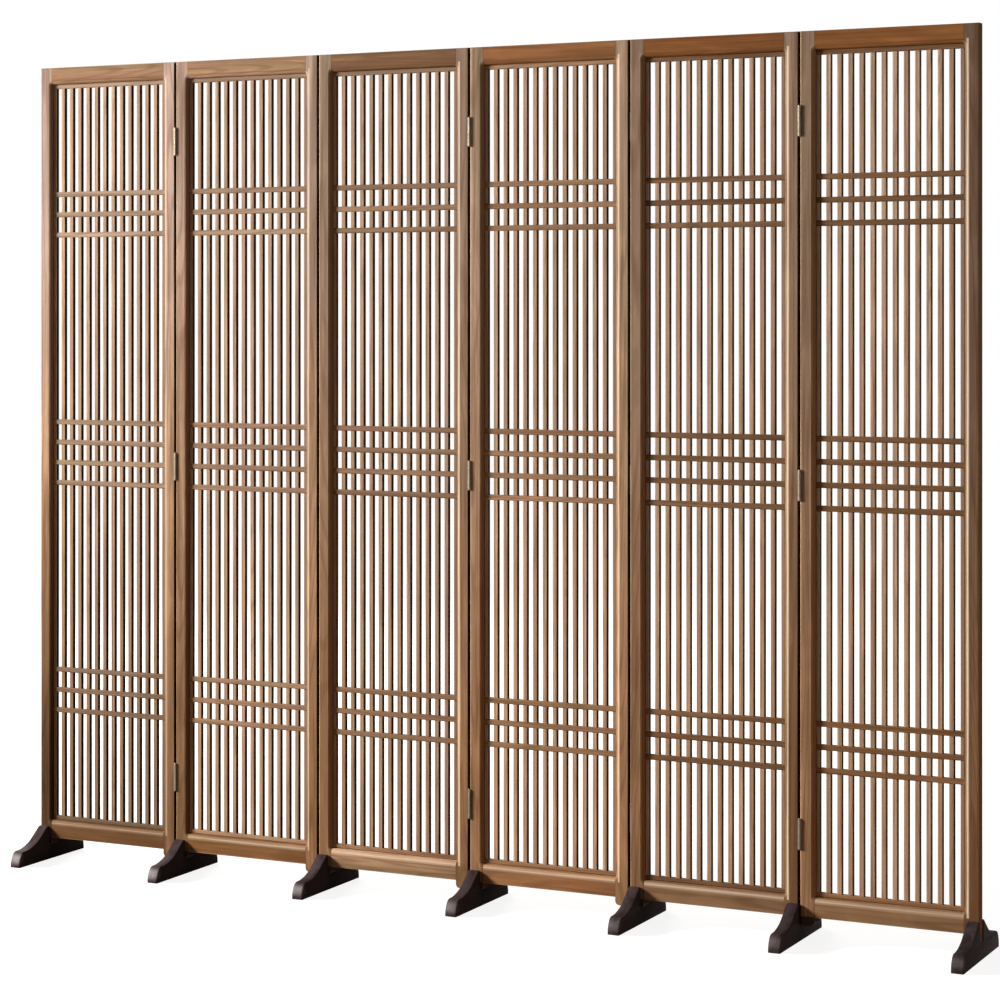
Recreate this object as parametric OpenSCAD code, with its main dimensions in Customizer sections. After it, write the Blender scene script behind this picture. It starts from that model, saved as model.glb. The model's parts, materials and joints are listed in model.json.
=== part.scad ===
// Folding slat screen: a row of hinged lattice panels standing on slotted feet.
// X runs along the screen, -Y is the front, Z is up. The origin lies on the floor
// under the middle of the row, half way through the panels' thickness.

/* [Screen] */
// Number of panels in the row
panels = 6; // [2:1:6]
// Height from the floor to the top rail
height = 1800; // [1500:10:2100]
// Width of one panel
panel_w = 362; // [320:1:420]
// Gap between two panels, which the hinge leaves share
panel_gap = 3; // [2.6:0.1:4]
// Thickness of the frame, front to back
frame_t = 25; // [22:1:30]

/* [Frame] */
// Width of a stile
stile_w = 30; // [26:1:40]
// Height of the top rail
top_rail_h = 38; // [30:1:60]
// Height of the bottom rail
bottom_rail_h = 40; // [30:1:70]
// Height of the bottom rail's underside above the floor
clear_h = 50; // [42:1:60]
// Length of the leg below the bottom rail
leg_l = 16.5; // [10:0.5:20]
// Radius of the quarter round moulding along the opening
mould_r = 7.5; // [5:0.5:8]
// Step from the flat face down to the moulding
mould_step = 0.5; // [0.3:0.1:1]
// Turning radius of the moulding's inner line at the opening's corners
mould_turn = 3.5; // [1:0.25:4]
// Rounding of the frame's outer edges
edge_r = 3.25; // [1:0.25:4]
// Length of a rail's tenon
tenon_l = 18; // [10:1:22]

/* [Lattice] */
// Slats in one panel, besides the two border strips
slat_count = 12; // [8:1:14]
// Width of a slat
slat_w = 11; // [8:0.5:12]
// Height of a level bar
bar_h = 11.5; // [8:0.5:14]
// Width of the border strip against the frame
border_w = 9.5; // [7:0.5:12]
// Distance between level bars of one group
bar_pitch = 46; // [35:1:55]
// Place of the outer groups, as a share of half the opening
outer_group = 0.646; // [0.55:0.01:0.75]
// Rounding of the slats' and bars' long edges
slat_r = 2.2; // [0.8:0.1:2.4]

/* [Hinges] */
// Length of a hinge
hinge_l = 60; // [45:1:80]
// Depth of a leaf on the stile's side
leaf_d = 20; // [16:1:20]
// Outer radius of the knuckles
knuckle_r = 2.8; // [2.6:0.1:3.5]
// Radius of the pin
pin_r = 1.5; // [1.2:0.1:1.8]
// Height of the lowest hinge's middle
hinge_low = 213; // [180:1:260]
// Height of the middle hinge's middle
hinge_mid = 902; // [800:1:950]
// Distance of the top hinge's middle below the top
hinge_top_drop = 177; // [120:1:240]

/* [Feet] */
// Length of a foot, front to back
foot_l = 250; // [220:5:300]
// Thickness of a foot
foot_t = 25; // [18:0.5:28]
// Height of the foot's back at its lowest, above the toe
toe_h = 34; // [31:1:38]
// Radius of the toe's rounded end
toe_r = 49; // [42:1:70]
// Radius of the hollow curve that rises to the ears
cove_r = 85; // [70:1:100]
// Slope of the straight run up to the ears
ear_slope = 38; // [34:1:44]
// Height of the ears beside the leg
ear_h = 75; // [66:1:80]

/* [Hidden] */
$fn = 64;
pitch = panel_w + panel_gap;
total_w = panels * pitch - panel_gap;
open_w = panel_w - 2 * stile_w;
open_z0 = clear_h + bottom_rail_h;
open_z1 = height - top_rail_h;
open_h = open_z1 - open_z0;
open_zc = (open_z0 + open_z1) / 2;
leg_z = clear_h - leg_l;
recess = mould_r + mould_step;
lattice_t = frame_t - 2 * recess;
slat_gap = (open_w - 2 * border_w - slat_count * slat_w) / (slat_count + 1);
tenon_t = frame_t / 3;
mortise_spare = 1;
blend = 0.03;
// Upright pieces of the lattice: [distance of the middle from the panel's edge, width]
uprights = concat(
    [[stile_w + border_w / 2, border_w]],
    [for (i = [0:slat_count - 1])
        [stile_w + border_w + slat_gap + slat_w / 2 + i * (slat_w + slat_gap), slat_w]],
    [[panel_w - stile_w - border_w / 2, border_w]]);
// Level pieces of the lattice: [height of the middle, height of the piece]
bar_steps = concat([for (g = [-1, 1], k = [-1, 0, 1]) g * outer_group * open_h / 2 + k * bar_pitch],
    [for (k = [-1.5, -0.5, 0.5, 1.5]) k * bar_pitch]);
levels = concat(
    [[open_z0 + border_w / 2, border_w], [open_z1 - border_w / 2, border_w]],
    [for (s = bar_steps) [open_zc + s, bar_h]]);
// Hinges
hinge_zs = [hinge_low, hinge_mid, height - hinge_top_drop];
leaf_play = 0.1;
leaf_t = panel_gap / 2 - leaf_play;
knuckle_play = 0.3;
// The knuckles sit in the groove between two rounded edges, just clear of both
knuckle_room = edge_r + knuckle_r + knuckle_play;
axis_out = sqrt(pow(knuckle_room, 2) - pow(panel_gap / 2 + edge_r, 2)) - edge_r;
axis_y = frame_t / 2 + max(axis_out, 0.5);
knuckles = 5;
knuckle_l = (hinge_l - (knuckles - 1) * knuckle_play) / knuckles;
pin_play = 0.05;
screw_r = 1.5;
screw_head_r = screw_r + 1.3;
screw_l = 14;
screw_zs = [-hinge_l * 0.38, -hinge_l * 0.13, hinge_l * 0.13, hinge_l * 0.38];
// Feet
foot_half = foot_l / 2;
foot_out = panel_gap / 2;
slot_half = frame_t / 2 + 0.2;
cove_v = foot_half - 25;
rise_v = cove_v - cove_r * sin(ear_slope);
rise_z = toe_h + cove_r * (1 - cos(ear_slope));

wood_frame = [0.52, 0.38, 0.27];
wood_rail = [0.55, 0.37, 0.22];
wood_slat = [0.60, 0.47, 0.37];
wood_bar = [0.56, 0.43, 0.33];
foot_black = [0.12, 0.08, 0.07];
hinge_metal = [0.72, 0.66, 0.60];

// The left edge of panel i
function panel_x(i) = -total_w / 2 + (i - 1) * pitch;

// The side of junction j on which its knuckles stand: -1 is the front, 1 is the back
function junction_side(j) = j % 2 == 1 ? -1 : 1;

// A flat cutter that rounds the corner at the origin of the quarter x > 0, y > 0
module corner_cut(r) {
    translate([-r, -r])
        difference() {
            square(r + 1);
            circle(r + blend);
        }
}

// The section of a slat or bar, with all four long edges rounded
module eased_section(w, d) {
    difference() {
        square([w, d], center = true);
        for (mx = [0, 1], my = [0, 1])
            mirror([mx, 0]) mirror([0, my])
                translate([w / 2, d / 2]) corner_cut(slat_r);
    }
}

// The flat shape swept round the opening: from a to b, moulded at both ends, on the -v side
module mould_section(a, b) {
    difference() {
        translate([a - mould_r, -frame_t / 2 - 1])
            square([b - a + 2 * mould_r, 1 + recess]);
        for (u = [a - mould_r, b + mould_r])
            translate([u, -frame_t / 2 + recess]) circle(mould_r + blend);
    }
}

// The same shape turned round one corner of the opening: a is the direction of the corner
module mould_corner(x, z, a) {
    translate([x, 0, z]) rotate([90, 0, 0]) rotate([0, 0, a])
        rotate_extrude(angle = 90)
            difference() {
                translate([0, frame_t / 2 - recess]) square([mould_turn + mould_r, recess + 1]);
                translate([mould_turn + mould_r, frame_t / 2 - recess]) circle(mould_r + blend);
            }
}

// What the moulding takes from the front of the frame
module front_moulding() {
    x0 = stile_w + mould_turn;
    x1 = panel_w - x0;
    z0 = open_z0 + mould_turn;
    z1 = open_z1 - mould_turn;
    translate([0, 0, z0])
        linear_extrude(z1 - z0) mould_section(stile_w, panel_w - stile_w);
    translate([x0, 0, 0]) rotate([90, 0, 90])
        linear_extrude(x1 - x0) rotate(90) mirror([0, 1]) mould_section(open_z0, open_z1);
    mould_corner(x1, z1, 0);
    mould_corner(x0, z1, 90);
    mould_corner(x0, z0, 180);
    mould_corner(x1, z0, 270);
}

module mouldings() {
    front_moulding();
    mirror([0, 1, 0]) front_moulding();
}

// Rounds the two top edges of the frame
module top_edges() {
    for (m = [0, 1])
        mirror([0, m, 0])
            translate([-1, 0, 0]) rotate([90, 0, 90]) linear_extrude(panel_w + 2)
                translate([frame_t / 2, height]) corner_cut(edge_r);
}

// A rail's tenon, or its mortise when spare room is left at its end
module tenon(z, h, spare) {
    translate([stile_w - tenon_l - spare, -tenon_t / 2, z + 7])
        cube([tenon_l + spare + 0.5, tenon_t, h - 14]);
}

// The left stile of a panel, before its hinge screws are let in
module stile_blank() {
    difference() {
        translate([0, 0, leg_z])
            linear_extrude(height - leg_z)
                difference() {
                    translate([0, -frame_t / 2]) square([stile_w, frame_t]);
                    for (m = [0, 1])
                        mirror([0, m]) translate([0, frame_t / 2]) mirror([1, 0]) corner_cut(edge_r);
                }
        mouldings();
        top_edges();
        tenon(clear_h, bottom_rail_h, mortise_spare);
        tenon(open_z1, top_rail_h, mortise_spare);
        // the rounded inner corner of the leg
        translate([0, frame_t, 0]) rotate([90, 0, 0]) linear_extrude(2 * frame_t)
            translate([stile_w, leg_z]) mirror([0, 1]) corner_cut(9);
    }
}

// The holes that the screws of junction j cut in a left stile
module stile_holes(j) {
    for (z = hinge_zs, s = screw_zs)
        translate([-1, screw_y(s) * junction_side(j), z + s])
            rotate([0, 90, 0]) cylinder(r = screw_r + 0.02, h = screw_l + 1);
}

module stile_left(i) {
    color(wood_frame)
        translate([panel_x(i), 0, 0])
            difference() {
                stile_blank();
                if (i > 1) stile_holes(i - 1);
            }
}

module stile_right(i) {
    color(wood_frame)
        translate([panel_x(i) + panel_w, 0, 0])
            mirror([1, 0, 0])
                difference() {
                    stile_blank();
                    if (i < panels) stile_holes(i);
                }
}

// A rail between the stiles, with its tenons
module rail(z, h) {
    difference() {
        translate([stile_w, -frame_t / 2, z]) cube([open_w, frame_t, h]);
        mouldings();
        top_edges();
    }
    tenon(z, h, 0);
    translate([panel_w, 0, 0]) mirror([1, 0, 0]) tenon(z, h, 0);
}

module top_rail(i) {
    color(wood_rail)
        translate([panel_x(i), 0, 0]) rail(open_z1, top_rail_h);
}

module bottom_rail(i) {
    color(wood_rail)
        translate([panel_x(i), 0, 0]) rail(clear_h, bottom_rail_h);
}

// The upright slats, each cut away in its front half where a bar crosses
module slats(i) {
    color(wood_slat)
        translate([panel_x(i), 0, 0])
            for (u = uprights)
                difference() {
                    translate([u[0], 0, open_z0]) linear_extrude(open_h) eased_section(u[1], lattice_t);
                    for (l = levels)
                        translate([u[0] - u[1], -lattice_t, l[0] - l[1] / 2])
                            cube([2 * u[1], lattice_t, l[1]]);
                }
}

// The level bars, each cut away in its back half where a slat crosses
module bars(i) {
    color(wood_bar)
        translate([panel_x(i), 0, 0])
            for (l = levels)
                difference() {
                    translate([stile_w, 0, l[0]])
                        rotate([90, 0, 90]) linear_extrude(open_w) eased_section(lattice_t, l[1]);
                    for (u = uprights)
                        translate([u[0] - u[1] / 2, 0, l[0] - l[1]])
                            cube([u[1], lattice_t, 2 * l[1]]);
                }
}

// Where across the leaf a screw sits: the four stand in two staggered rows
function screw_y(s) = frame_t / 2 - (abs(s) > hinge_l * 0.3 ? 6 : 13);

// The height at which knuckle k of a hinge starts
function knuckle_z(k) = -hinge_l / 2 + k * (knuckle_l + knuckle_play);

// One leaf of a front hinge on the left of the gap, with the given knuckles
module leaf(odd) {
    difference() {
        union() {
            difference() {
                translate([-panel_gap / 2, -frame_t / 2, -hinge_l / 2])
                    cube([leaf_t, leaf_d, hinge_l]);
                // room for the other leaf's knuckles
                for (k = [1 - odd:2:knuckles - 1])
                    translate([0, -axis_y, knuckle_z(k) - knuckle_play])
                        cylinder(r = knuckle_r + knuckle_play, h = knuckle_l + 2 * knuckle_play);
            }
            for (k = [odd:2:knuckles - 1])
                translate([0, -axis_y, knuckle_z(k)]) cylinder(r = knuckle_r, h = knuckle_l);
        }
        translate([0, -axis_y, -hinge_l]) cylinder(r = pin_r + pin_play, h = 2 * hinge_l);
        for (s = screw_zs)
            translate([-leaf_play, -screw_y(s), s]) rotate([0, -90, 0]) {
                translate([0, 0, -0.5]) cylinder(r = screw_r + 0.02, h = leaf_t + 1);
                translate([0, 0, -0.01])
                    cylinder(r1 = screw_head_r + 0.01, r2 = screw_r + 0.02, h = leaf_t - 0.1);
            }
    }
}

// The hinge leaves of panel i: the even knuckles on its right, the odd ones on its left
module leaves(i) {
    color(hinge_metal) {
        if (i < panels)
            for (z = hinge_zs)
                translate([panel_x(i) + panel_w + panel_gap / 2, 0, z])
                    mirror([0, junction_side(i) > 0 ? 1 : 0, 0]) leaf(0);
        if (i > 1)
            for (z = hinge_zs)
                translate([panel_x(i) - panel_gap / 2, 0, z])
                    mirror([0, junction_side(i - 1) > 0 ? 1 : 0, 0])
                        mirror([1, 0, 0]) leaf(1);
    }
}

// A countersunk screw that points along -X, its head flush with the leaf
module screw() {
    rotate([0, -90, 0])
        difference() {
            rotate_extrude()
                polygon([[0, 0], [screw_head_r, 0], [screw_r, leaf_t - 0.11], [screw_r, screw_l - 3],
                    [0.3, screw_l], [0, screw_l]]);
            translate([-screw_head_r - 1, -0.35, -1])
                cube([2 * screw_head_r + 2, 0.7, 1.6]);
        }
}

// The four screws of a leaf on the left of the gap
module leaf_screws() {
    for (s = screw_zs)
        translate([-leaf_play, -screw_y(s), s]) screw();
}

module screws(i) {
    color(hinge_metal) {
        if (i < panels)
            for (z = hinge_zs)
                translate([panel_x(i) + panel_w + panel_gap / 2, 0, z])
                    mirror([0, junction_side(i) > 0 ? 1 : 0, 0]) leaf_screws();
        if (i > 1)
            for (z = hinge_zs)
                translate([panel_x(i) - panel_gap / 2, 0, z])
                    mirror([0, junction_side(i - 1) > 0 ? 1 : 0, 0])
                        mirror([1, 0, 0]) leaf_screws();
    }
}

// The three pins of junction j, each with a flat head above and below the knuckles
module pins(j) {
    color(hinge_metal)
        for (z = hinge_zs)
            translate([panel_x(j) + panel_w + panel_gap / 2, junction_side(j) * axis_y, z]) {
                translate([0, 0, -hinge_l / 2 - 0.5]) cylinder(r = pin_r, h = hinge_l + 1);
                for (m = [0, 1])
                    mirror([0, 0, m])
                        translate([0, 0, hinge_l / 2])
                            cylinder(r1 = knuckle_r - 0.3, r2 = knuckle_r - 1, h = 1.2);
            }
}

// The outline of a foot seen from the side, as [distance from the middle, height]
module foot_side() {
    difference() {
        intersection() {
            translate([-foot_half - 1, 0]) square([foot_l + 2, ear_h]);
            // both toes' rounded ends
            union() {
                for (m = [0, 1])
                    mirror([m, 0]) translate([foot_half - toe_r, 0]) circle(toe_r);
                translate([toe_r - foot_half, 0]) square([foot_l - 2 * toe_r, ear_h]);
            }
        }
        for (m = [0, 1])
            mirror([m, 0]) {
                // the hollow curve
                intersection() {
                    translate([cove_v, toe_h + cove_r]) circle(cove_r);
                    translate([rise_v, 0]) square([foot_half, ear_h + 1]);
                }
                // the straight run up to the ear
                translate([rise_v, rise_z])
                    polygon([[0, 0], [0.5, 0], [0.5, ear_h], [-ear_h / tan(ear_slope), ear_h]]);
            }
        // the slot for the leg
        translate([-slot_half, leg_z]) square([2 * slot_half, ear_h]);
    }
}

// A foot across the row's line, its left side on x = 0
module foot_body() {
    intersection() {
        rotate([90, 0, 90]) linear_extrude(foot_t) foot_side();
        linear_extrude(ear_h + 1)
            difference() {
                translate([0, -foot_half - 1]) square([foot_t, foot_l + 2]);
                for (mx = [0, 1], my = [0, 1])
                    translate([foot_t / 2, 0]) mirror([mx, 0]) mirror([0, my])
                        translate([foot_t / 2, foot_half]) corner_cut(3);
            }
    }
}

// Feet 1 to panels - 1 stand under left stiles, the last two under the last two right stiles
module foot(k) {
    x = k < panels ? panel_x(k) - foot_out : panel_x(k - 1) + panel_w - foot_t + foot_out;
    color(foot_black) translate([x, 0, 0]) foot_body();
}

for (i = [1:panels]) {
    stile_left(i);
    stile_right(i);
    top_rail(i);
    bottom_rail(i);
    slats(i);
    bars(i);
    leaves(i);
    screws(i);
}
for (j = [1:panels - 1]) {
    pins(j);
}
for (k = [1:panels + 1]) {
    foot(k);
}
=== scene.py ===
import json
import math

import bmesh
import bpy
from bpy.props import FloatProperty, FloatVectorProperty, PointerProperty
from bpy.types import Operator, Panel, PropertyGroup
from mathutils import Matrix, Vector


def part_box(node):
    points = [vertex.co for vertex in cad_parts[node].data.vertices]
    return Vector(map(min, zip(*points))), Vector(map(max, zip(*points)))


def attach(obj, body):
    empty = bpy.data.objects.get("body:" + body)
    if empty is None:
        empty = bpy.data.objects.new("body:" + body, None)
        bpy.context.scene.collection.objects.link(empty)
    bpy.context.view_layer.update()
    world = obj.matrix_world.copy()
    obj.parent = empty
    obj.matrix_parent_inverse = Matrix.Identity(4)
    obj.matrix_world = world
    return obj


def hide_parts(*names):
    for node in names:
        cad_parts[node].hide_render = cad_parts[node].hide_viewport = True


bl_info = {
    "name": "Folding Slat Screen",
    "version": (1, 0, 0),
    "blender": (4, 5, 0),
    "location": "3D View > Sidebar > Screen",
    "description": "Finishes for a folding screen of slatted panels, and a plain studio for it",
    "category": "Object",
}

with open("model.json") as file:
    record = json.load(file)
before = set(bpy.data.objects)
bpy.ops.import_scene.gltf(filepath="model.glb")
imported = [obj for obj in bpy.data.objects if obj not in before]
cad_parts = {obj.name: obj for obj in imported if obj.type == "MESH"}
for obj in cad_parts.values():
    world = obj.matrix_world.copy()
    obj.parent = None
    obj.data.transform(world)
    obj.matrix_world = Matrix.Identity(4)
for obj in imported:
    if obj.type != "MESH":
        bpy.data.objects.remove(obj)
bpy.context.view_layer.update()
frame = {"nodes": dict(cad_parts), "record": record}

# The first panel's frame gives the row's own measures. Every length is in metres
PANELS = sum(1 for name in frame["nodes"] if name.startswith("slats_"))
LEFT_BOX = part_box("stile_left_1")
RIGHT_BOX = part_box("stile_right_1")
BOTTOM_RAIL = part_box("bottom_rail_1")
ROW_START = LEFT_BOX[0][0]
PANEL_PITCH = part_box("stile_left_2")[0][0] - ROW_START
PANEL_WIDTH = RIGHT_BOX[1][0] - ROW_START
STILE_WIDTH = LEFT_BOX[1][0] - ROW_START
OPENING = PANEL_WIDTH - 2 * STILE_WIDTH
OPENING_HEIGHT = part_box("top_rail_1")[0][2] - BOTTOM_RAIL[1][2]
OPENING_MIDDLE = BOTTOM_RAIL[1][2] + OPENING_HEIGHT / 2
RAIL_UNDERSIDE = BOTTOM_RAIL[0][2]
MOULDING = 0.0075
BORDER_WIDTH = 0.0095
SLAT_WIDTH = 0.011
SLAT_COUNT = 12
SLAT_GAP = (OPENING - 2 * BORDER_WIDTH - SLAT_COUNT * SLAT_WIDTH) / (SLAT_COUNT + 1)
SLAT_PITCH = SLAT_WIDTH + SLAT_GAP
BAR_PITCH = 0.023

# The feet's outline, measured out from the row's middle line
TOE_BEND = 0.0198
TOE_CREST = 0.1113
TOE_HEIGHT = 0.034
HOLLOW = 0.0708
EAR_FRONT = 0.0182
SLOT_HALF = 0.0127
SLOT_FLOOR = LEFT_BOX[0][2]
# Each rounded corner of the outline: its number, how far back the round starts, and its steps
FOOT_ROUNDS = ((1, 0.0135, 6), (2, 0.0058, 4), (3, 0.0293, 12), (4, 0.0020, 3))
FOOT_EASE = 0.0022
FOOT_EASE_STEPS = 3
FOOT_SHARP_ANGLE = math.radians(32.0)
TOUCHING = 1e-6

# How light each panel's left and right stile are: every stile is cut from its own board
STILE_BOARDS = ((1.00, 1.12), (0.93, 0.90), (0.77, 0.78), (1.00, 1.06), (0.78, 0.85), (0.86, 0.55))
# How light the same two are near the floor, beside their tops
LOW_STILES = ((0.19, 0.51), (0.60, 0.74), (1.10, 0.84), (0.91, 1.04), (0.96, 0.84), (1.06, 1.10))
# How light each panel's top and bottom rail are, how warm its top rail is, and how much of the
# painted shade near the floor its bottom rail takes
RAIL_BOARDS = ((0.94, 0.33, 0.0, 0.85), (1.06, 0.64, 0.0, 1.0), (0.64, 1.06, 0.3, 0.0),
               (0.90, 0.88, 0.8, 0.85), (0.95, 0.70, 1.0, 0.4), (0.92, 0.94, 1.0, 0.45))
# How light each panel's slats are near the floor and at the top, and then its bars. The slats are
# painted lighter towards the right, as painted light against the key light's fall-off
SLAT_BOARDS = ((0.60, 1.00), (1.02, 1.00), (0.92, 1.05), (1.36, 1.12), (1.28, 1.22), (1.34, 1.28))
BAR_BOARDS = ((0.48, 0.94), (1.02, 0.88), (0.84, 0.80), (0.92, 0.96), (0.60, 0.60), (0.92, 0.64))

# How far each kind of pattern in the wood is drawn out along the grain
GRAIN_DRAW = 0.022
FIGURE_DRAW = 0.06
PATCH_DRAW = 0.30
# Each pattern's noise: scale, detail, roughness and, for some, distortion
BROAD_NOISE = (34.0, 2.0, 0.55, 0.4)
STREAK_NOISE = (150.0, 3.0, 0.6, 0.3)
FIBRE_NOISE = (620.0, 2.0, 0.6)
HUE_NOISE = (62.0, 1.0, 0.5)
FIGURE_NOISE = (11.0, 1.5, 0.5, 0.6)
PATCH_NOISE = (26.0, 2.0, 0.55, 0.5)
RING_WAVES = 120.0
# The step along each axis from one board to the next, and where it starts again
BOARD_STEPS = ((3.17, 7.0), (1.73, 5.0), (2.39, 6.0))
# The boards of each kind of piece are numbered from here, after those of the stiles
RAIL_SEED = 30
SLAT_SEED = 60
BAR_SEED = 80
# How far apart the pieces of one set are picked, and how far apart they lie on their board
PIECE_STEP = 11.0
PIECE_SPREAD = 9.0
# The heights between which the painted shade near the floor, deeper and warmer, fades out
LOW_SHADE_HEIGHTS = (0.10, 1.55)
# The heights between which the painted light at the tops, paler and greyer, comes in
TOP_LIGHT_HEIGHTS = (0.9, 1.6)
# The distances from an edge at which its band is full and gone, and how far the grain moves them;
# most bands are scuffed paler wood with painted highlight, some are painted shade
EDGE_BAND_FADE = (0.0006, 0.0026)
EDGE_BAND_RAGGED = (-0.0006, 0.0010)
# The same for the thin dark line of a joint
JOINT_FADE = (0.0003, 0.0010)
# The leg's painted shade, a near-black end, stops within this height
LEG_SHADE_FADE = 0.002
# The white surround would veil darker wood with its reflection, so there is next to none
WOOD_SPECULAR = 0.003
# Painted shade on the faces that look sideways, where the slats' sides and the recesses fall in
# shade: whether left ones have it as well as right ones, how far a face turns before it starts, its
# share, and its lightness beside the streaks' own colour
SLAT_SIDE_SHADE = (True, 0.45, 0.93, 0.25)
STILE_SIDE_SHADES = {"left": (False, 0.25, 0.90, 1.6), "right": (False, 0.45, 0.95, 0.6)}
SIDE_SHADE_SPAN = 0.37

# The height of the painted highlight's belt on the toes, and the distances from it at which it is
# full and gone
TOE_HIGHLIGHT_HEIGHT = 0.019
TOE_HIGHLIGHT_FADE = (0.002, 0.016)
METAL_GLOSS = (0.44, 0.62)


class NodeBench:
    """Adds nodes to one node tree and joins them."""

    def __init__(self, tree):
        self.tree = tree
        self.tree.nodes.clear()

    def add(self, kind):
        node = self.tree.nodes.new(kind)
        node.location = (220 * (len(self.tree.nodes) % 8), -260 * (len(self.tree.nodes) // 8))
        return node

    def link(self, source, target):
        self.tree.links.new(source, target)

    def feed(self, socket, value):
        if isinstance(value, bpy.types.NodeSocket):
            self.link(value, socket)
        else:
            socket.default_value = value

    def math(self, operation, a, b=0.0):
        node = self.add("ShaderNodeMath")
        node.operation = operation
        for socket, value in zip(node.inputs, (a, b)):
            self.feed(socket, value)
        return node.outputs[0]

    def split(self, vector):
        node = self.add("ShaderNodeSeparateXYZ")
        self.feed(node.inputs[0], vector)
        return node.outputs["X"], node.outputs["Y"], node.outputs["Z"]

    def join(self, x, y, z):
        node = self.add("ShaderNodeCombineXYZ")
        for socket, value in zip(node.inputs, (x, y, z)):
            self.feed(socket, value)
        return node.outputs[0]

    def noise(self, vector, scale=1.0, detail=3.0, roughness=0.5, distortion=0.0):
        node = self.add("ShaderNodeTexNoise")
        self.feed(node.inputs["Vector"], vector)
        node.inputs["Scale"].default_value = scale
        node.inputs["Detail"].default_value = detail
        node.inputs["Roughness"].default_value = roughness
        node.inputs["Distortion"].default_value = distortion
        return node.outputs["Fac"]

    def pick(self, number):
        """A value from 0 to 1 that belongs to this number."""
        node = self.add("ShaderNodeTexWhiteNoise")
        node.noise_dimensions = "1D"
        self.feed(node.inputs["W"], number)
        return node.outputs["Value"]

    def span(self, value, low, high, to_low=0.0, to_high=1.0, smooth=False):
        """The value, carried over from low and high to two other numbers, and kept between them."""
        node = self.add("ShaderNodeMapRange")
        node.interpolation_type = "SMOOTHSTEP" if smooth else "LINEAR"
        self.feed(node.inputs["Value"], value)
        for name, number in (("From Min", low), ("From Max", high), ("To Min", to_low),
                             ("To Max", to_high)):
            node.inputs[name].default_value = number
        return node.outputs["Result"]

    def mix(self, factor, a, b, blend="MIX"):
        node = self.add("ShaderNodeMix")
        node.data_type = "RGBA"
        node.blend_type = blend
        node.clamp_factor = True
        sockets = [s for s in node.inputs if s.enabled]
        self.feed(sockets[0], factor)
        for socket, value in zip(sockets[-2:], (a, b)):
            if not isinstance(value, bpy.types.NodeSocket):
                value = (*value[:3], 1.0)
            self.feed(socket, value)
        return [s for s in node.outputs if s.enabled][0]

    def seen(self):
        """1 for the rays that show a thing as it is: straight, mirrored or through glass."""
        path = self.add("ShaderNodeLightPath")
        seen = self.math("MAXIMUM", path.outputs["Is Camera Ray"], path.outputs["Is Glossy Ray"])
        return self.math("MAXIMUM", seen, path.outputs["Is Transmission Ray"])


class MaterialBench(NodeBench):
    """Makes a material of one Principled shader, with patterns in the object's own coordinates."""

    def __init__(self, name):
        self.material = bpy.data.materials.new(name)
        self.material.use_nodes = True
        super().__init__(self.material.node_tree)
        output = self.add("ShaderNodeOutputMaterial")
        self.shader = self.add("ShaderNodeBsdfPrincipled")
        self.link(self.shader.outputs["BSDF"], output.inputs["Surface"])
        self.coord = self.add("ShaderNodeTexCoord").outputs["Object"]

    def stretch(self, scale, shift=(0.0, 0.0, 0.0)):
        node = self.add("ShaderNodeMapping")
        self.link(self.coord, node.inputs["Vector"])
        node.inputs["Location"].default_value = shift
        node.inputs["Scale"].default_value = scale
        return node.outputs[0]

    def sideways(self):
        """How far a face looks along the row: 1 to the right, -1 to the left."""
        return self.split(self.add("ShaderNodeTexCoord").outputs["Normal"])[0]

    def paint(self, color, rough):
        self.link(color, self.shader.inputs["Base Color"])
        self.link(rough, self.shader.inputs["Roughness"])

    def bump(self, height, strength, distance):
        node = self.add("ShaderNodeBump")
        node.inputs["Strength"].default_value = strength
        node.inputs["Distance"].default_value = distance
        self.link(height, node.inputs["Height"])
        self.link(node.outputs["Normal"], self.shader.inputs["Normal"])


def shade(color, factor):
    return tuple(c * factor for c in color[:3])


def blend_stain(a, b, share):
    return [p + (q - p) * share for p, q in zip(a, b)]


def board_of(boards, number):
    """A panel's entry in a table of boards, which starts again where it ends."""
    return boards[(number - 1) % len(boards)]


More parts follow.
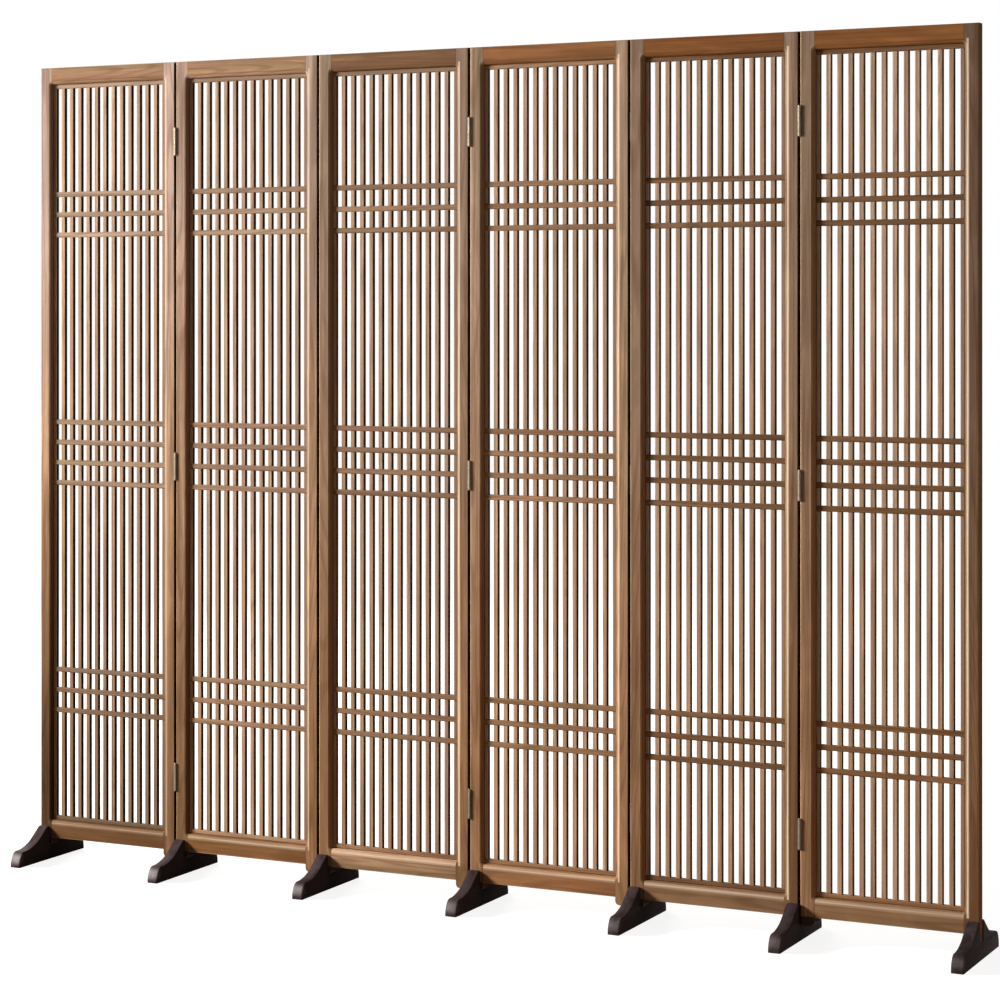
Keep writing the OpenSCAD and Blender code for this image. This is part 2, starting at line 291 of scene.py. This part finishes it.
def wood(name, tone, finish, seed, along="Z", piece_number=None, edges=(), dark_line=None,
         border=None, side_shade=None, low_share=1.0, low_tone=1.0, high_tone=1.0, painted_top_light=0.0,
         leg_shade_below=None, variety=0.3):
    """Stained, satin wood whose grain runs along one axis.

    piece_number, dark_line and border are functions that lay out a value: the number of the piece
    in a set, the distance from a joint, and how far a place lies in a darker border strip. Each
    edge is such a distance with the colour and the share of its band: scuffed paler wood with
    painted highlight, and on some edges painted shade. low_tone and high_tone are the lightness at
    the floor and at the top, low_share and painted_top_light the shares of the painted shade near
    the floor and the painted light at the tops, and leg_shade_below the height below which the wood
    is painted in the feet's near-black as painted shade.
    """
    bench = MaterialBench(name)
    shift = tuple(seed * step % wrap for step, wrap in BOARD_STEPS)
    chance = offset = None
    if piece_number is not None:
        # Each piece of the set is cut from another part of the board
        chance = bench.pick(bench.math("ADD", piece_number(bench), seed * PIECE_STEP))
        offset = bench.math("MULTIPLY", chance, PIECE_SPREAD)

    def board(ratio):
        """The board's own coordinates, drawn out along the grain."""
        drawn = {"Z": (1.0, 1.0, ratio), "X": (ratio, 1.0, 1.0)}[along]
        place = bench.stretch(drawn, shift)
        if offset is None:
            return place
        return bench.join(*(bench.math("ADD", part, offset) for part in bench.split(place)))

    long_grain = board(GRAIN_DRAW)
    broad = bench.noise(long_grain, *BROAD_NOISE)
    streak = bench.noise(long_grain, *STREAK_NOISE)
    fibre = bench.noise(long_grain, *FIBRE_NOISE)
    hue = bench.noise(long_grain, *HUE_NOISE)
    figure = bench.noise(board(FIGURE_DRAW), *FIGURE_NOISE)
    rings = bench.math("SINE", bench.math("MULTIPLY", figure, RING_WAVES))
    patch = bench.noise(board(PATCH_DRAW), *PATCH_NOISE)
    up = bench.split(bench.coord)[2]
    low = bench.span(up, *LOW_SHADE_HEIGHTS, 1.0, 0.0, smooth=True)

    color = bench.mix(bench.span(broad, 0.34, 0.68), shade(tone, 1.0 - variety),
                      shade(tone, 1.0 + variety * 0.9))
    # Each layer: its pattern, where that starts and is full, its share, its colour and its blend
    for pattern, start, full, share, over, blend in (
            (patch, 0.40, 0.66, 0.42, shade(tone, 0.66), "MIX"),
            (patch, 0.46, 0.30, 0.30, shade(tone, 1.45), "MIX"),
            (rings, 0.35, 0.95, finish.ring_depth, finish.streak_color, "MIX"),
            (streak, 0.50, 0.72, finish.streak_depth, finish.streak_color, "MIX"),
            (hue, 0.55, 0.75, 0.34, finish.red_hue, "MULTIPLY"),
            (hue, 0.46, 0.28, 0.30, finish.green_hue, "MULTIPLY"),
            (fibre, 0.42, 0.66, 0.22, shade(tone, 0.55), "MIX")):
        color = bench.mix(bench.span(pattern, start, full, 0.0, share), color, over, blend)
    if chance is not None:
        color = bench.mix(bench.span(chance, 0.0, 1.0, 0.0, 0.50), color, shade(tone, 0.64))
    if border is not None:
        color = bench.mix(border(bench), color, shade(tone, 0.42))
    # Painted shade on the faces turned sideways
    if side_shade is not None:
        on_both_sides, start, share, lightness = side_shade
        turned = bench.sideways()
        if on_both_sides:
            turned = bench.math("ABSOLUTE", turned)
        side = bench.span(turned, start, start + SIDE_SHADE_SPAN, 0.0, share, smooth=True)
        color = bench.mix(side, color, shade(finish.streak_color, lightness))

    # Painted shade makes the wood warmer and deeper towards the floor, and painted light makes it
    # paler and greyer at the tops
    color = bench.mix(bench.math("MULTIPLY", low, low_share), color, finish.painted_low_shade_hue, "MULTIPLY")
    lightness = bench.mix(bench.math("MULTIPLY", low, low), (high_tone,) * 3, (low_tone,) * 3)
    color = bench.mix(1.0, color, lightness, "MULTIPLY")
    if painted_top_light > 0.0:
        color = bench.mix(bench.span(up, *TOP_LIGHT_HEIGHTS, 0.0, painted_top_light, smooth=True), color,
                          finish.painted_top_light_hue, "MULTIPLY")

    for distance, edge_color, share in edges:
        near = bench.math("ADD", distance(bench), bench.span(streak, 0.3, 0.7, *EDGE_BAND_RAGGED))
        color = bench.mix(bench.span(near, *EDGE_BAND_FADE, share, 0.0), color, edge_color)
    if dark_line is not None:
        color = bench.mix(bench.span(dark_line(bench), *JOINT_FADE, 0.80, 0.0), color,
                          shade(tone, 0.12))
    if leg_shade_below is not None:
        # The leg's end below the rail is painted in the feet's near-black: painted shade
        color = bench.mix(bench.span(up, leg_shade_below, leg_shade_below + LEG_SHADE_FADE, 0.85, 0.0), color,
                          finish.foot_color)

    bench.paint(color, bench.span(streak, 0.3, 0.75, finish.wood_gloss_low,
                                  finish.wood_gloss_high))
    bench.shader.inputs["Specular IOR Level"].default_value = WOOD_SPECULAR
    height = bench.math("ADD", bench.math("MULTIPLY", streak, 0.5),
                        bench.math("MULTIPLY", fibre, 0.35))
    height = bench.math("SUBTRACT", height, bench.span(rings, 0.35, 0.95, 0.0, 0.15))
    bench.bump(height, 0.35, 0.0006)
    return bench.material


def dress(node, material):
    """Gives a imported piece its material."""
    piece = frame["nodes"][node]
    piece.data.materials.clear()
    piece.data.materials.append(material)
    for polygon in piece.data.polygons:
        polygon.material_index = 0


class ScreenFinish(PropertyGroup):
    """Colours and gloss of the screen's woods and metals."""
    stile_color: FloatVectorProperty(
        name="Stiles", description="Stain of the upright frame pieces", subtype="COLOR", size=3,
        min=0.0, max=1.0, default=(0.342, 0.232, 0.162))
    top_rail_color: FloatVectorProperty(
        name="Top rails", description="Stain of the upper level frame pieces", subtype="COLOR",
        size=3, min=0.0, max=1.0, default=(0.300, 0.184, 0.112))
    warm_rail_color: FloatVectorProperty(
        name="Warm top rails", description="Stain of the redder upper rails", subtype="COLOR",
        size=3, min=0.0, max=1.0, default=(0.262, 0.108, 0.038))
    bottom_rail_color: FloatVectorProperty(
        name="Bottom rails", description="Stain of the lower level frame pieces", subtype="COLOR",
        size=3, min=0.0, max=1.0, default=(0.330, 0.200, 0.118))
    slat_color: FloatVectorProperty(
        name="Slats", description="Stain of the upright slats", subtype="COLOR", size=3,
        min=0.0, max=1.0, default=(0.400, 0.268, 0.182))
    bar_color: FloatVectorProperty(
        name="Bars, left", description="Stain of the first panel's level bars", subtype="COLOR",
        size=3, min=0.0, max=1.0, default=(0.345, 0.245, 0.175))
    warm_bar_color: FloatVectorProperty(
        name="Bars, right", description="Stain of the last panel's level bars", subtype="COLOR",
        size=3, min=0.0, max=1.0, default=(0.345, 0.190, 0.098))
    streak_color: FloatVectorProperty(
        name="Streaks", description="Colour of the dark streaks in the grain", subtype="COLOR",
        size=3, min=0.0, max=1.0, default=(0.105, 0.048, 0.022))
    red_hue: FloatVectorProperty(
        name="Red streaks", description="Tint of the redder streaks", subtype="COLOR", size=3,
        min=0.0, max=1.0, default=(1.0, 0.66, 0.58))
    green_hue: FloatVectorProperty(
        name="Olive streaks", description="Tint of the greener streaks", subtype="COLOR", size=3,
        min=0.0, max=1.0, default=(0.80, 0.95, 0.62))
    # Painted shade near the floor
    painted_low_shade_hue: FloatVectorProperty(
        name="Lower painted shade", description="Tint of the painted shade near the floor", subtype="COLOR", size=3,
        min=0.0, max=1.0, default=(1.0, 0.80, 0.58))
    # Painted light at the tops
    painted_top_light_hue: FloatVectorProperty(
        name="Top painted light", description="Tint of the painted light at the tops",
        subtype="COLOR", size=3, min=0.0, max=2.0, default=(1.00, 1.07, 1.26))
    # Scuffed pale edges, with painted highlight where they face the light
    worn_highlight_color: FloatVectorProperty(
        name="Worn and lit edges", description="Paler wood where the edges lose their stain, and painted highlight",
        subtype="COLOR", size=3, min=0.0, max=1.0, default=(0.660, 0.510, 0.375))
    # How far the edges are scuffed pale and take painted highlight
    edge_wear_highlight: FloatProperty(
        name="Edge rub and highlight", description="How far the edges lose their stain and take painted highlight",
        subtype="FACTOR", min=0.0, max=1.0, default=0.72)
    ring_depth: FloatProperty(
        name="Ring depth", description="How strongly the growth rings show", subtype="FACTOR",
        min=0.0, max=1.0, default=0.32)
    streak_depth: FloatProperty(
        name="Streak depth", description="How strongly the dark streaks show", subtype="FACTOR",
        min=0.0, max=1.0, default=0.55)
    wood_gloss_low: FloatProperty(
        name="Wood roughness, smooth", description="Roughness of the smooth wood between streaks",
        subtype="FACTOR", min=0.0, max=1.0, default=0.42)
    wood_gloss_high: FloatProperty(
        name="Wood roughness, open", description="Roughness of the open grain", subtype="FACTOR",
        min=0.0, max=1.0, default=0.60)
    foot_color: FloatVectorProperty(
        name="Feet", description="Near-black stain of the feet", subtype="COLOR", size=3,
        min=0.0, max=1.0, default=(0.037, 0.026, 0.027))
    # Painted highlight on the toes
    toe_highlight_color: FloatVectorProperty(
        name="Toe highlight", description="Painted highlight on the toes", subtype="COLOR",
        size=3, min=0.0, max=1.0, default=(0.270, 0.245, 0.250))
    hinge_color: FloatVectorProperty(
        name="Hinges", description="Metal of the hinges and screws", subtype="COLOR", size=3,
        min=0.0, max=1.0, default=(0.175, 0.150, 0.112))


class ScreenStage(PropertyGroup):
    """The studio around the screen."""
    camera_place: FloatVectorProperty(
        name="Camera", description="Where the camera stands", subtype="XYZ", unit="LENGTH",
        size=3, default=(2.4835, -4.9575, 1.244))
    camera_turn: FloatProperty(
        name="Camera turn", description="Turn of the camera about the vertical", subtype="ANGLE",
        unit="ROTATION", default=math.radians(26.0))
    lens: FloatProperty(
        name="Lens", description="Focal length in millimetres", unit="CAMERA", min=10.0,
        default=94.93)
    lens_drop: FloatProperty(
        name="Lens drop", description="Vertical shift that keeps the uprights parallel",
        default=-0.1876)
    key_power: FloatProperty(
        name="Key light", description="Power of the strong light on the left", subtype="POWER",
        unit="POWER", min=0.0, default=1085.0)
    fill_power: FloatProperty(
        name="Fill light", description="Power of the soft light in front", subtype="POWER",
        unit="POWER", min=0.0, default=14.0)
    back_power: FloatProperty(
        name="Back light", description="Power of the soft light behind the screen",
        subtype="POWER", unit="POWER", min=0.0, default=300.0)
    bounce_power: FloatProperty(
        name="Bounce light", description="Power of the light thrown back from the right",
        subtype="POWER", unit="POWER", min=0.0, default=135.0)
    surround: FloatProperty(
        name="Surround", description="Strength of the room's own light", subtype="FACTOR",
        min=0.0, max=1.0, default=0.15)


def wear_highlight_of(finish, number):
    """How far a panel's moulding edges are scuffed pale and lit by painted highlight: less on the
    first two panels than on the others.
    """
    return finish.edge_wear_highlight * min(1.0, 0.15 + 0.27 * number)


def stands_in_foot(side, number):
    """Whether a stile's leg stands in a foot: every left one's, and the last two right ones'."""
    return side == "left" or number >= PANELS - 1


def edge_of(node, moulded, reach=0.0):
    """Lays out the distance from a long edge of a frame piece, less the reach.

    The edge is where the moulding starts, or else the outer one away from the opening.
    """
    low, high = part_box(node)
    upright = high[2] - low[2] > high[0] - low[0]
    axis = 0 if upright else 2
    if "left" in node or "bottom" in node:
        line = high[axis] - MOULDING if moulded else low[axis]
    else:
        line = low[axis] + MOULDING if moulded else high[axis]
    depth = (high[1] - low[1]) / 2

    def distance(bench):
        x, y, z = bench.split(bench.coord)
        to_line = bench.math("ABSOLUTE", bench.math("SUBTRACT", x if upright else z, line))
        to_face = bench.math("SUBTRACT", depth, bench.math("ABSOLUTE", y))
        nearest = bench.math("MAXIMUM", to_line, to_face)
        if moulded and upright:
            # The moulding stops at the rails
            from_middle = bench.math("ABSOLUTE", bench.math("SUBTRACT", z, OPENING_MIDDLE))
            past = bench.math("SUBTRACT", from_middle, OPENING_HEIGHT / 2 + MOULDING)
            nearest = bench.math("MAXIMUM", nearest, past)
        return bench.math("SUBTRACT", nearest, reach)
    return distance


class SCREEN_OT_stiles(Operator):
    """Stain the upright stiles, each from its own board"""
    bl_idname = "screen.stiles"
    bl_label = "Finish Stiles"

    def execute(self, context):
        finish = context.scene.screen_finish
        for i in range(1, PANELS + 1):
            wear_highlight = wear_highlight_of(finish, i)
            # The pale edges' painted highlight is brighter towards the right
            worn_highlight = [min(c * (1.0 + 0.09 * (i - 1)), 0.92) for c in finish.worn_highlight_color]
            for k, side in enumerate(("left", "right")):
                node = f"stile_{side}_{i}"
                outer = edge_of(node, False)
                if side == "left":
                    edges = ((outer, worn_highlight, wear_highlight * 0.35), (edge_of(node, True), worn_highlight, wear_highlight * 0.12))
                elif i < PANELS:
                    # The edge at the narrow gap between two panels is painted nearly black: painted
                    # shade in the gap
                    edges = ((edge_of(node, False, reach=0.0006),
                              shade(finish.streak_color, 0.12), 0.95),
                             (edge_of(node, True, reach=0.0005), worn_highlight, wear_highlight))
                else:
                    edges = ((outer, worn_highlight, wear_highlight * 0.20),
                             (edge_of(node, True, reach=0.0005), worn_highlight, wear_highlight))
                tone = shade(finish.stile_color, board_of(STILE_BOARDS, i)[k])
                # The stile takes painted shade on its faces that look right, painted light at its
                # top, more on the left panels, and painted shade on its leg's end where it stands
                # in a foot
                dress(node, wood(
                    f"stile wood {side} {i}", tone, finish, 2 * i + k, "Z", edges=edges,
                    side_shade=STILE_SIDE_SHADES[side], low_tone=board_of(LOW_STILES, i)[k],
                    painted_top_light=((PANELS - i) / (PANELS - 1)) ** 2,
                    leg_shade_below=RAIL_UNDERSIDE if stands_in_foot(side, i) else None, variety=0.26))
        return {"FINISHED"}


class SCREEN_OT_rails(Operator):
    """Stain the level rails and draw the thin joints at their ends"""
    bl_idname = "screen.rails"
    bl_label = "Finish Rails"

    def execute(self, context):
        finish = context.scene.screen_finish
        for i in range(1, PANELS + 1):
            middle = ROW_START + (i - 1) * PANEL_PITCH + PANEL_WIDTH / 2

            def joint(bench):
                x, _, _ = bench.split(bench.coord)
                from_middle = bench.math("ABSOLUTE", bench.math("SUBTRACT", x, middle))
                return bench.math("SUBTRACT", OPENING / 2, from_middle)

            top_light, bottom_light, warmth, tinted = board_of(RAIL_BOARDS, i)
            top_stain = blend_stain(finish.top_rail_color, finish.warm_rail_color, warmth)
            # The upper rails' mouldings, which face down, take painted shade; the lower ones' are
            # scuffed bright, with painted highlight
            for k, (end, tone, arris_color, share) in enumerate((
                    ("top", shade(top_stain, top_light), shade(finish.warm_rail_color, 0.55), 0.55),
                    ("bottom", shade(finish.bottom_rail_color, bottom_light), finish.worn_highlight_color,
                     wear_highlight_of(finish, i) * 0.9))):
                node = f"{end}_rail_{i}"
                edges = [(edge_of(node, False), finish.worn_highlight_color, finish.edge_wear_highlight * 0.20),
                         (edge_of(node, True), arris_color, share)]
                if end == "bottom":
                    # A softer, wider band of scuffing and painted highlight, where the moulding
                    # faces up to the light, lies under the bright line
                    edges.insert(1, (edge_of(node, True, reach=0.0034), finish.worn_highlight_color,
                                     share * 0.45))
                dress(node, wood(
                    f"{end} rail wood {i}", tone, finish, RAIL_SEED + 2 * i + k, "X", edges=edges,
                    dark_line=joint, low_share=tinted, variety=0.30))
        return {"FINISHED"}


class SCREEN_OT_slats(Operator):
    """Stain the upright slats, each in a tone of its own"""
    bl_idname = "screen.slats"
    bl_label = "Finish Slats"

    def execute(self, context):
        finish = context.scene.screen_finish
        for i in range(1, PANELS + 1):
            start = ROW_START + (i - 1) * PANEL_PITCH + STILE_WIDTH

            def number(bench):
                x, _, _ = bench.split(bench.coord)
                along = bench.math("SUBTRACT", x,
                                   start + BORDER_WIDTH - SLAT_PITCH / 2 + SLAT_WIDTH / 2)
                return bench.math("FLOOR", bench.math("DIVIDE", along, SLAT_PITCH))

            def border(bench):
                # The strip against the right stile is darker
                x, _, _ = bench.split(bench.coord)
                inner = start + OPENING - BORDER_WIDTH
                return bench.span(x, inner - 0.001, inner, 0.0, 0.55)

            low_light, high_light = board_of(SLAT_BOARDS, i)
            dress(f"slats_{i}", wood(
                f"slat wood {i}", finish.slat_color, finish, SLAT_SEED + i, "Z",
                piece_number=number, border=border, side_shade=SLAT_SIDE_SHADE, low_share=0.3,
                low_tone=low_light, high_tone=high_light, variety=0.26))
        return {"FINISHED"}


class SCREEN_OT_bars(Operator):
    """Stain the level bars, warmer from panel to panel towards the right"""
    bl_idname = "screen.bars"
    bl_label = "Finish Bars"

    def execute(self, context):
        finish = context.scene.screen_finish

        def number(bench):
            _, _, z = bench.split(bench.coord)
            return bench.math("FLOOR", bench.math("DIVIDE", z, BAR_PITCH))

        for i in range(1, PANELS + 1):
            low_light, high_light = board_of(BAR_BOARDS, i)
            stain = blend_stain(finish.bar_color, finish.warm_bar_color, (i - 1) / (PANELS - 1))
            dress(f"bars_{i}", wood(
                f"bar wood {i}", stain, finish, BAR_SEED + i, "X", piece_number=number,
                low_share=0.4, low_tone=low_light, high_tone=high_light, variety=0.28))
        return {"FINISHED"}


def foot_piece(node):
    """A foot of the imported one's own outline, with its crests and its long edges softened."""
    low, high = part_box(node)
    reach, crown = high[1], high[2]
    made = bmesh.new()
    # Half the outline's corners, from the toe's underside to the slot's floor
    half = ((reach, 0.0), (reach, TOE_BEND), (TOE_CREST, TOE_HEIGHT), (HOLLOW, TOE_HEIGHT),
            (EAR_FRONT, crown), (SLOT_HALF, crown), (SLOT_HALF, SLOT_FLOOR))
    outline = [(-y, z) for y, z in half] + [(y, z) for y, z in reversed(half)]
    corners = [made.verts.new((low[0], y, z)) for y, z in outline]
    made.faces.new(corners)
    for place, offset, steps in FOOT_ROUNDS:
        # The same corner on the front half and on the back half
        pair = [corners[place], corners[-1 - place]]
        bmesh.ops.bevel(made, geom=pair, affect="VERTICES", offset=offset, offset_type="OFFSET",
                        segments=steps, profile=0.5, material=-1)
    thick = bmesh.ops.extrude_face_region(made, geom=made.faces[:])
    bmesh.ops.translate(made, vec=(high[0] - low[0], 0.0, 0.0),
                        verts=[v for v in thick["geom"] if isinstance(v, bmesh.types.BMVert)])
    bmesh.ops.recalc_face_normals(made, faces=made.faces[:])

    def soft(edge):
        """Whether this is a long edge of either side that shows and can be rubbed."""
        a, b = (v.co for v in edge.verts)
        on_side = abs(a.x - b.x) < TOUCHING
        on_floor = max(a.z, b.z) < TOUCHING
        in_slot = max(abs(a.y), abs(b.y)) < SLOT_HALF + 10 * TOUCHING
        return on_side and not on_floor and not in_slot

    bmesh.ops.bevel(made, geom=[e for e in made.edges if soft(e)], affect="EDGES",
                    offset=FOOT_EASE, offset_type="OFFSET", segments=FOOT_EASE_STEPS, profile=0.5,
                    material=-1, clamp_overlap=True)
    mesh = bpy.data.meshes.new(f"{node}_eased")
    made.to_mesh(mesh)
    made.free()
    for polygon in mesh.polygons:
        polygon.use_smooth = True
    mesh.set_sharp_from_angle(angle=FOOT_SHARP_ANGLE)
    piece = bpy.data.objects.new(f"{node}_eased", mesh)
    bpy.context.scene.collection.objects.link(piece)
    return piece


def foot_stain(finish):
    """Near-black stain, with a painted highlight on the toes and painted shade on the feet's flat
    sides.
    """
    bench = MaterialBench("foot stain")
    broad = bench.noise(bench.stretch((1.0, 0.08, 1.0)), 60.0, 3.0, 0.55, 0.4)
    fine = bench.noise(bench.stretch((1.0, 0.06, 1.0)), 420.0, 2.0, 0.6)
    mottle = bench.noise(bench.coord, 24.0, 3.0, 0.5)
    color = bench.mix(bench.span(broad, 0.35, 0.68), shade(finish.foot_color, 0.65),
                      shade(finish.foot_color, 1.5))
    color = bench.mix(bench.span(mottle, 0.5, 0.75, 0.0, 0.4), color,
                      shade(finish.foot_color, 2.0))
    # A painted highlight lies in a belt half way up the toes, brighter towards the left of the row,
    # nearer the key light
    along, out, up = bench.split(bench.coord)
    toe = bench.span(bench.math("ABSOLUTE", out), TOE_CREST - 0.008, TOE_CREST + 0.010, 0.0, 1.0,
                     smooth=True)
    belt = bench.span(bench.math("ABSOLUTE", bench.math("SUBTRACT", up, TOE_HIGHLIGHT_HEIGHT)),
                      *TOE_HIGHLIGHT_FADE, 1.0, 0.0, smooth=True)
    toe_highlight = bench.math("MULTIPLY", bench.math("MULTIPLY", toe, belt),
                        bench.span(broad, 0.3, 0.6, 0.6, 1.0))
    toe_highlight = bench.math("MULTIPLY", toe_highlight, bench.span(along, -0.40, 0.45, 0.90, 0.28))
    color = bench.mix(toe_highlight, color, finish.toe_highlight_color)
    # Painted shade on the feet's flat sides
    side = bench.span(bench.math("ABSOLUTE", bench.sideways()), 0.60, 0.95, 0.0, 0.85, smooth=True)
    color = bench.mix(side, color, shade(finish.foot_color, 0.40))
    bench.paint(color, bench.span(fine, 0.35, 0.7, 0.38, 0.54))
    bench.shader.inputs["Specular IOR Level"].default_value = WOOD_SPECULAR
    height = bench.math("ADD", bench.math("MULTIPLY", broad, 0.5),
                        bench.math("MULTIPLY", fine, 0.5))
    bench.bump(height, 0.25, 0.0005)
    return bench.material


class SCREEN_OT_feet(Operator):
    """Shape the feet and finish them near-black"""
    bl_idname = "screen.feet"
    bl_label = "Finish Feet"

    def execute(self, context):
        stain = foot_stain(context.scene.screen_finish)
        carrier = {node: body for body, nodes in frame["record"]["behaviour"]["bodies"].items()
                   for node in nodes}
        for k in range(1, PANELS + 2):
            node = f"foot_{k}"
            dress(node, stain)
            piece = foot_piece(node)
            piece.data.materials.append(stain)
            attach(piece, carrier[node])
            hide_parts(node)
        return {"FINISHED"}


def metal(name, tone):
    """Brushed metal with darker clouds."""
    bench = MaterialBench(name)
    brushed = bench.noise(bench.stretch((1.0, 1.0, 0.05)), 1800.0, 2.0, 0.6)
    cloud = bench.noise(bench.coord, 140.0, 3.0, 0.5)
    color = bench.mix(bench.span(brushed, 0.35, 0.65, 0.0, 0.4), tone, shade(tone, 0.7))
    color = bench.mix(bench.span(cloud, 0.55, 0.75, 0.0, 0.5), color, shade(tone, 0.5))
    bench.paint(color, bench.span(brushed, 0.3, 0.7, *METAL_GLOSS))
    bench.shader.inputs["Metallic"].default_value = 1.0
    bench.bump(brushed, 0.06, 0.0001)
    return bench.material


class SCREEN_OT_hinges(Operator):
    """Finish the hinge leaves, pins and screws"""
    bl_idname = "screen.hinges"
    bl_label = "Finish Hinges"

    def execute(self, context):
        tone = context.scene.screen_finish.hinge_color
        hinge_metal = metal("hinge metal", tone)
        screw_metal = metal("screw metal", shade(tone, 0.9))
        for i in range(1, PANELS + 1):
            dress(f"leaves_{i}", hinge_metal)
            dress(f"screws_{i}", screw_metal)
            if i < PANELS:
                dress(f"pins_{i}", hinge_metal)
        return {"FINISHED"}


def plain_light(name, place, target, width, power, color):
    """A square lamp that looks at the target."""
    data = bpy.data.lights.new(name, "AREA")
    data.shape = "RECTANGLE"
    data.size = data.size_y = width
    data.energy = power
    data.color = color
    lamp = bpy.data.objects.new(name, data)
    bpy.context.scene.collection.objects.link(lamp)
    lamp.location = place
    aim = [t - p for t, p in zip(target, place)]
    lamp.rotation_euler = (math.atan2(math.hypot(aim[0], aim[1]), -aim[2]), 0.0,
                           math.atan2(-aim[0], aim[1]))


def set_camera(scene, stage):
    data = bpy.data.cameras.new("camera")
    data.sensor_fit = "HORIZONTAL"
    data.sensor_width = 36.0
    data.lens = stage.lens
    data.shift_y = stage.lens_drop
    data.clip_end = 100.0
    camera = bpy.data.objects.new("camera", data)
    scene.collection.objects.link(camera)
    camera.location = stage.camera_place
    camera.rotation_euler = (math.radians(90.0), 0.0, stage.camera_turn)
    scene.camera = camera


def lay_floor(scene):
    """A pale floor that takes the screen's shadow."""
    mesh = bpy.data.meshes.new("floor")
    made = bmesh.new()
    bmesh.ops.create_grid(made, x_segments=1, y_segments=1, size=14.0)
    made.to_mesh(mesh)
    made.free()
    floor = bpy.data.objects.new("floor", mesh)
    scene.collection.objects.link(floor)

    bench = MaterialBench("pale floor")
    bench.shader.inputs["Roughness"].default_value = 0.9
    bench.shader.inputs["Specular IOR Level"].default_value = 0.0
    seen = bench.seen()
    away = bench.add("ShaderNodeVectorMath")
    away.operation = "LENGTH"
    bench.link(bench.coord, away.inputs[0])
    # The floor turns pure white away from the screen, so that it ends without a line
    glow = bench.span(away.outputs["Value"], 1.6, 3.6, 0.88, 1.0, smooth=True)
    # The light that it throws back up at the wood is warm and dim
    bench.link(bench.mix(seen, (0.20, 0.155, 0.115), (0.22, 0.22, 0.22)),
               bench.shader.inputs["Base Color"])
    bench.shader.inputs["Emission Color"].default_value = (1.0, 1.0, 1.0, 1.0)
    bench.link(bench.math("MULTIPLY", seen, glow), bench.shader.inputs["Emission Strength"])
    mesh.materials.append(bench.material)


def set_surround(scene, strength):
    """White where it is seen, and a dim, warm room where it lights the screen."""
    world = bpy.data.worlds.new("surround")
    scene.world = world
    world.use_nodes = True
    bench = NodeBench(world.node_tree)
    room = bench.add("ShaderNodeBackground")
    room.inputs["Color"].default_value = (1.0, 0.96, 0.91, 1.0)
    # The room is brighter on the left, where its windows are
    toward = bench.split(bench.add("ShaderNodeTexCoord").outputs["Generated"])[0]
    bench.link(bench.span(toward, -1.0, 0.6, strength, strength * 0.10), room.inputs["Strength"])
    white = bench.add("ShaderNodeBackground")
    white.inputs["Color"].default_value = (1.0, 1.0, 1.0, 1.0)
    white.inputs["Strength"].default_value = 1.0
    choose = bench.add("ShaderNodeMixShader")
    for socket, source in zip(choose.inputs, (bench.seen(), room.outputs[0], white.outputs[0])):
        bench.link(source, socket)
    bench.link(choose.outputs[0], bench.add("ShaderNodeOutputWorld").inputs["Surface"])


class SCREEN_OT_stage(Operator):
    """Set up the floor, the lights, the surround and the camera"""
    bl_idname = "screen.stage"
    bl_label = "Set the Stage"

    def execute(self, context):
        scene = context.scene
        stage = scene.screen_stage
        set_camera(scene, stage)
        lay_floor(scene)
        set_surround(scene, stage.surround)
        # Each lamp: its name, place, the height that it looks at, width, power and colour
        for name, place, height, width, power, color in (
                ("key light", (-5.4, -2.0, 2.3), 1.0, 1.2, stage.key_power, (1.0, 0.97, 0.94)),
                ("fill light", (-2.6, -5.6, 2.2), 0.9, 3.0, stage.fill_power, (1.0, 0.97, 0.93)),
                ("back light", (-3.4, 3.6, 2.6), 1.0, 2.4, stage.back_power, (1.0, 0.97, 0.94)),
                ("bounce light", (5.5, -0.3, 1.1), 0.9, 1.6, stage.bounce_power,
                 (1.0, 0.84, 0.70))):
            plain_light(name, place, (0.0, 0.0, height), width, power, color)
        scene.view_settings.view_transform = "Standard"
        return {"FINISHED"}


class SCREEN_PT_panel(Panel):
    """Lists the screen's finishes and its stage"""
    bl_idname = "SCREEN_PT_panel"
    bl_label = "Folding Screen"
    bl_space_type = "VIEW_3D"
    bl_region_type = "UI"
    bl_category = "Screen"

    def draw(self, context):
        layout = self.layout
        for holder in (context.scene.screen_finish, context.scene.screen_stage):
            box = layout.box()
            for name in holder.__annotations__:
                box.prop(holder, name)
        for operator in OPERATORS:
            layout.operator(operator.bl_idname)


OPERATORS = (SCREEN_OT_stage, SCREEN_OT_stiles, SCREEN_OT_rails, SCREEN_OT_slats, SCREEN_OT_bars,
             SCREEN_OT_feet, SCREEN_OT_hinges)
CLASSES = (ScreenFinish, ScreenStage, *OPERATORS, SCREEN_PT_panel)


def register():
    for cls in CLASSES:
        bpy.utils.register_class(cls)
    bpy.types.Scene.screen_finish = PointerProperty(type=ScreenFinish)
    bpy.types.Scene.screen_stage = PointerProperty(type=ScreenStage)


def unregister():
    del bpy.types.Scene.screen_stage
    del bpy.types.Scene.screen_finish
    for cls in reversed(CLASSES):
        bpy.utils.unregister_class(cls)


def main():
    register()
    bpy.ops.screen.stage()
    bpy.ops.screen.stiles()
    bpy.ops.screen.rails()
    bpy.ops.screen.slats()
    bpy.ops.screen.bars()
    bpy.ops.screen.feet()
    bpy.ops.screen.hinges()


if __name__ == "__main__":
    main()
